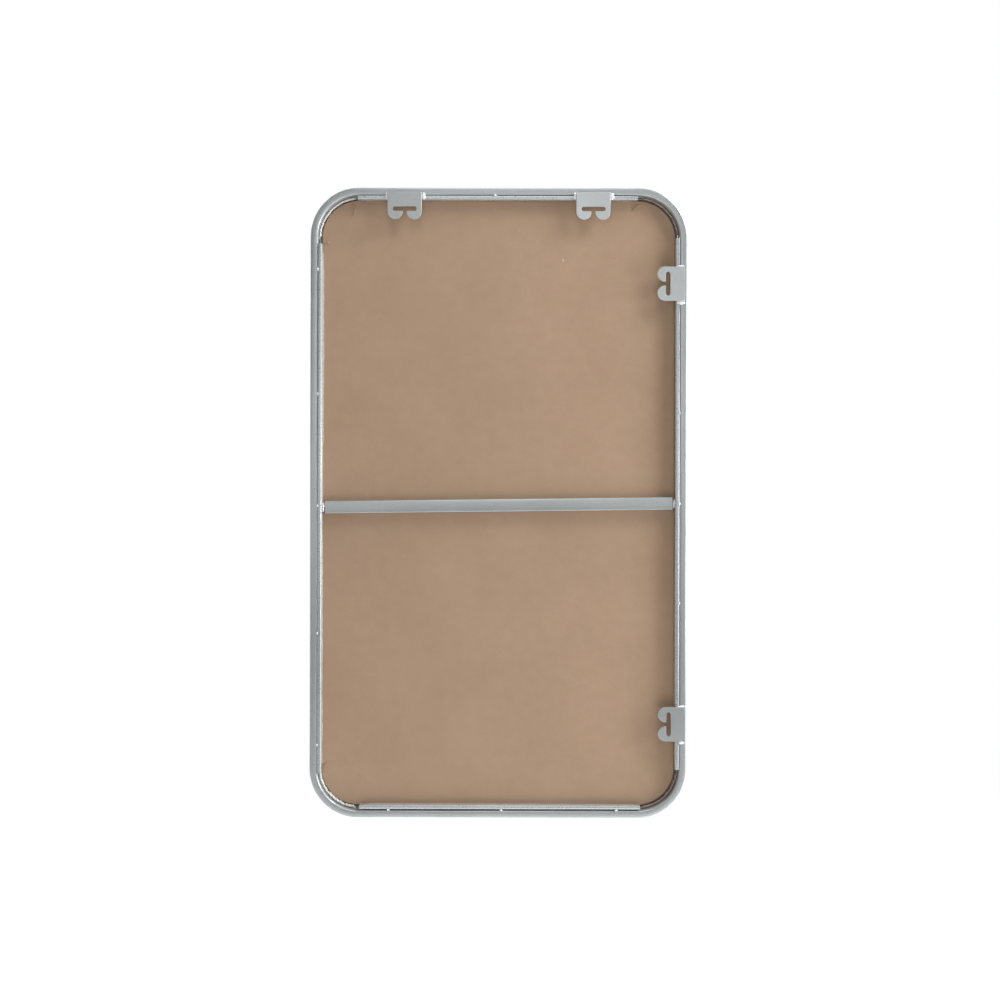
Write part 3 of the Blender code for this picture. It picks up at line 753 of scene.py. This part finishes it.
# Each string, and the dab: half its thickness, and its points across and up the board.
STRINGS = (
    ("glue_string_1", 0.00065,
     ((0.2312, 0.0060), (0.2345, -0.0010), (0.2350, -0.0075), (0.2392, -0.0125))),
    ("glue_string_2", 0.00055,
     ((0.2352, 0.0070), (0.2378, 0.0010), (0.2362, -0.0040))),
    ("glue_string_3", 0.00080,
     ((-0.2168, -0.0030), (-0.2215, 0.0020), (-0.2260, 0.0050), (-0.2330, 0.0075))),
    ("glue_string_4", 0.00035,
     ((-0.2195, 0.0030), (-0.2230, -0.0035), (-0.2262, 0.0010))),
    ("glue_string_5", 0.00060,
     ((0.2840, -0.9145), (0.2822, -0.9085), (0.2795, -0.9040), (0.2762, -0.8990))),
    ("glue_string_6", 0.00035,
     ((0.2835, -0.9110), (0.2812, -0.9125), (0.2790, -0.9085))),
    ("glue_dab", 0.00120,
     ((0.2812, -0.0556), (0.2795, -0.0560), (0.2775, -0.0552), (0.2757, -0.0558))),
)


def cord_grid(line, thickness, columns):
    """Rings of the given half thickness round a line, square to the run of the line."""
    ahead = np.gradient(line, axis=0)
    ahead /= np.linalg.norm(ahead, axis=1, keepdims=True)
    out = np.array((0.0, 1.0, 0.0))
    beside = np.cross(ahead, out)
    beside /= np.linalg.norm(beside, axis=1, keepdims=True)
    above = np.cross(beside, ahead)
    turn = np.linspace(0, 2 * math.pi, columns, endpoint=False)[None, :, None]
    ring = beside[:, None] * np.cos(turn) + above[:, None] * np.sin(turn)
    return line[:, None] + ring * thickness[:, None, None]


inner_radius = CORNER_RADIUS - HOOP_WIDTH
board_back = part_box("backing_board")[1][1]
for number, (name, row) in enumerate(CORNERS.items()):
    side_x, side_z, thick, rib, start, end, colour = row
    glue_finish = milky(name + "_hot_melt", colour, GLUE_GLOSS, GLUE_CLOUD_SCALE)
    rng = np.random.default_rng(FIRST_GLUE_SEED + number)
    along = np.linspace(0, 1, RIB_STEPS)
    quarter = {(1, 1): 0, (-1, 1): 90, (-1, -1): 180, (1, -1): 270}[(side_x, side_z)]
    angle = np.radians(quarter + start + (end - start) * along)
    wobble = sum(np.sin(2 * math.pi * cycles * along + rng.uniform(0, 6.28)) for cycles in (2, 5, 9))
    half = thick * (1 + rib * np.abs(np.sin(math.pi * RIBS * along + 0.8 * wobble)) + 0.08 * wobble)
    half *= np.clip(np.sin(math.pi * along) * 6, 0.25, 1)
    reach = inner_radius - 0.95 * half
    centre_x = MIDDLE[0] + side_x * ((HOOP_HIGH[0] - HOOP_LOW[0]) / 2 - CORNER_RADIUS)
    centre_z = MIDDLE[2] + side_z * ((HOOP_HIGH[2] - HOOP_LOW[2]) / 2 - CORNER_RADIUS)
    line = np.stack((centre_x + reach * np.cos(angle), np.full(RIB_STEPS, board_back - GLUE_TUCK),
                     centre_z + reach * np.sin(angle)), 1)
    ribs = cord_grid(line, half, RIB_COLUMNS)
    ribs[..., 1] = line[:, None, 1] + GLUE_RISE * (ribs[..., 1] - line[:, None, 1])
    add_piece(name + "_ribs", ribs, glue_finish, False, (name,), False)

string_finish = milky("pulled_hot_melt", (0.46, 0.30, 0.17), STRING_GLOSS, GLUE_CLOUD_SCALE)
for name, thickness, stops in STRINGS:
    stops = np.array(stops)
    knots = np.linspace(0, 1, len(stops))
    fine = np.linspace(0, 1, STRING_STEPS)
    curve = np.stack([np.polyval(np.polyfit(knots, stops[:, k], len(stops) - 1), fine)
                      for k in (0, 1)], 1)
    half = thickness * (0.35 + 0.65 * np.sin(math.pi * np.clip(fine * 0.92 + 0.04, 0, 1)))
    line = np.stack((curve[:, 0], board_back + half * 0.9 + STRING_LIFT * np.sin(math.pi * fine),
                     curve[:, 1]), 1)
    add_piece(name, cord_grid(line, half, STRING_COLUMNS), string_finish, False, (), False)

# Mirror: a pane of 4 mm float glass with a ground edge, silvered on its back, and the silver
# covered with grey backing paint. Each layer is its own thin piece.
GLASS_CLEARANCE = 0.0012
GLASS_RADIUS = CORNER_RADIUS - HOOP_WIDTH - GLASS_CLEARANCE
GLASS_ARRIS = 0.0006
GLASS_INDEX = 1.52
FILM = 0.00006
FILM_GAP = 0.00001
FILM_STEP = FILM + FILM_GAP
SILVER_CLOUD_SCALE = 3.0
STIPPLE_SCALE = 500.0
STIPPLE_HEIGHT = 0.00005

glass_finish, _, _, glass_shader = shader_material("float_glass", (0.93, 0.975, 0.955), 0.0, 0.0)
glass_shader.inputs["Transmission Weight"].default_value = 1.0
glass_shader.inputs["IOR"].default_value = GLASS_INDEX


def silvering():
    """Silver deposit on glass: a near-perfect mirror with faint long waves of thickness."""
    material, graph, links, shader = shader_material("silvering", (0.93, 0.935, 0.93), 0.015, 1.0)
    cloud = noise_texture(graph, links, SILVER_CLOUD_SCALE, 2.0)
    tone = colour_ramp(graph, links, cloud.outputs["Fac"],
                       ((0.3, (0.915, 0.925, 0.92)), (0.7, (0.94, 0.945, 0.94))))
    links.new(tone.outputs["Color"], shader.inputs["Base Color"])
    return material


def backing_paint():
    """Grey roller-coated paint with a fine stipple."""
    material, graph, links, shader = shader_material("backing_paint", (0.17, 0.18, 0.19), 0.55, 0.0)
    stipple = noise_texture(graph, links, STIPPLE_SCALE, 3.0)
    tone = colour_ramp(graph, links, stipple.outputs["Fac"],
                       ((0.3, (0.15, 0.16, 0.17)), (0.7, (0.19, 0.20, 0.21))))
    links.new(tone.outputs["Color"], shader.inputs["Base Color"])
    add_bump(graph, links, shader, stipple.outputs["Fac"], STIPPLE_HEIGHT)
    return material


low, high = (np.array(corner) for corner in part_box("mirror_glass"))
pane_high = high - np.array((0.0, 2 * FILM_STEP, 0.0))
slab("glass_pane", low, pane_high, GLASS_RADIUS, GLASS_ARRIS, glass_finish,
     ("mirror_glass",))
for name, order, finish in (("silver_film", 1, silvering()), ("backing_paint_film", 0, backing_paint())):
    film_high = high - np.array((GLASS_ARRIS, order * FILM_STEP, GLASS_ARRIS))
    film_low = np.array((low[0] + GLASS_ARRIS, film_high[1] - FILM, low[2] + GLASS_ARRIS))
    slab(name, film_low, film_high, GLASS_RADIUS - GLASS_ARRIS, FILM / 4, finish)

# Glass edge seal: a ring of sealant round the pane, in the narrow gap between its edge and the
# hoop, just under the pane's back. It keeps light from showing through the gap, and its near-black
# colour is painted shade at the bottom of the gap.
SEAL_DEPTH = 0.0016
SEAL_CLOUD_SCALE = 300.0
seal_path, seal_normal = rounded_outline(
    HOOP_HIGH[0] - HOOP_LOW[0] - 2 * HOOP_WIDTH - GLASS_CLEARANCE,
    HOOP_HIGH[2] - HOOP_LOW[2] - 2 * HOOP_WIDTH - GLASS_CLEARANCE,
    CORNER_RADIUS - HOOP_WIDTH - GLASS_CLEARANCE / 2, CORNER_STEPS, SIDE_STEPS)
seal_section, _ = rounded_outline(GLASS_CLEARANCE, SEAL_DEPTH, SEAL_DEPTH / 4, 3, 2)
seal_grid = np.empty((len(seal_path), len(seal_section), 3))
for axis, row in ((0, 0), (2, 1)):
    offset = seal_normal[:, None, row] * seal_section[None, :, 0]
    seal_grid[..., axis] = MIDDLE[axis] + seal_path[:, None, row] + offset
seal_grid[..., 1] = high[1] - SEAL_DEPTH + seal_section[None, :, 1]
# Near-black colour: painted shade at the bottom of the gap.
seal_shade_finish = milky("dark_sealant", (0.035, 0.035, 0.037), 0.5, SEAL_CLOUD_SCALE)
add_piece("glass_edge_seal", seal_grid, seal_shade_finish, True)

# Mastic: three upright beads of mirror mastic, pressed flat between the pane and the board. They
# are out of sight, and keep the plain solids with a stiff grey-brown finish.
FILLER_SCALE = 350.0
FILLER_HEIGHT = 0.0002


def mastic():
    """Stiff mastic: dull grey-brown with coarse filler."""
    material, graph, links, shader = shader_material("mirror_mastic", (0.36, 0.32, 0.27), 0.7, 0.0)
    filler = noise_texture(graph, links, FILLER_SCALE, 4.0)
    tone = colour_ramp(graph, links, filler.outputs["Fac"],
                       ((0.3, (0.30, 0.27, 0.22)), (0.7, (0.42, 0.38, 0.32))))
    links.new(tone.outputs["Color"], shader.inputs["Base Color"])
    add_bump(graph, links, shader, filler.outputs["Fac"], FILLER_HEIGHT)
    return material


mastic_finish = mastic()
for column in ("left", "middle", "right"):
    mastic_bead = nodes["mirror_mastic_" + column]
    mastic_bead.data.materials.clear()
    mastic_bead.data.materials.append(mastic_finish)
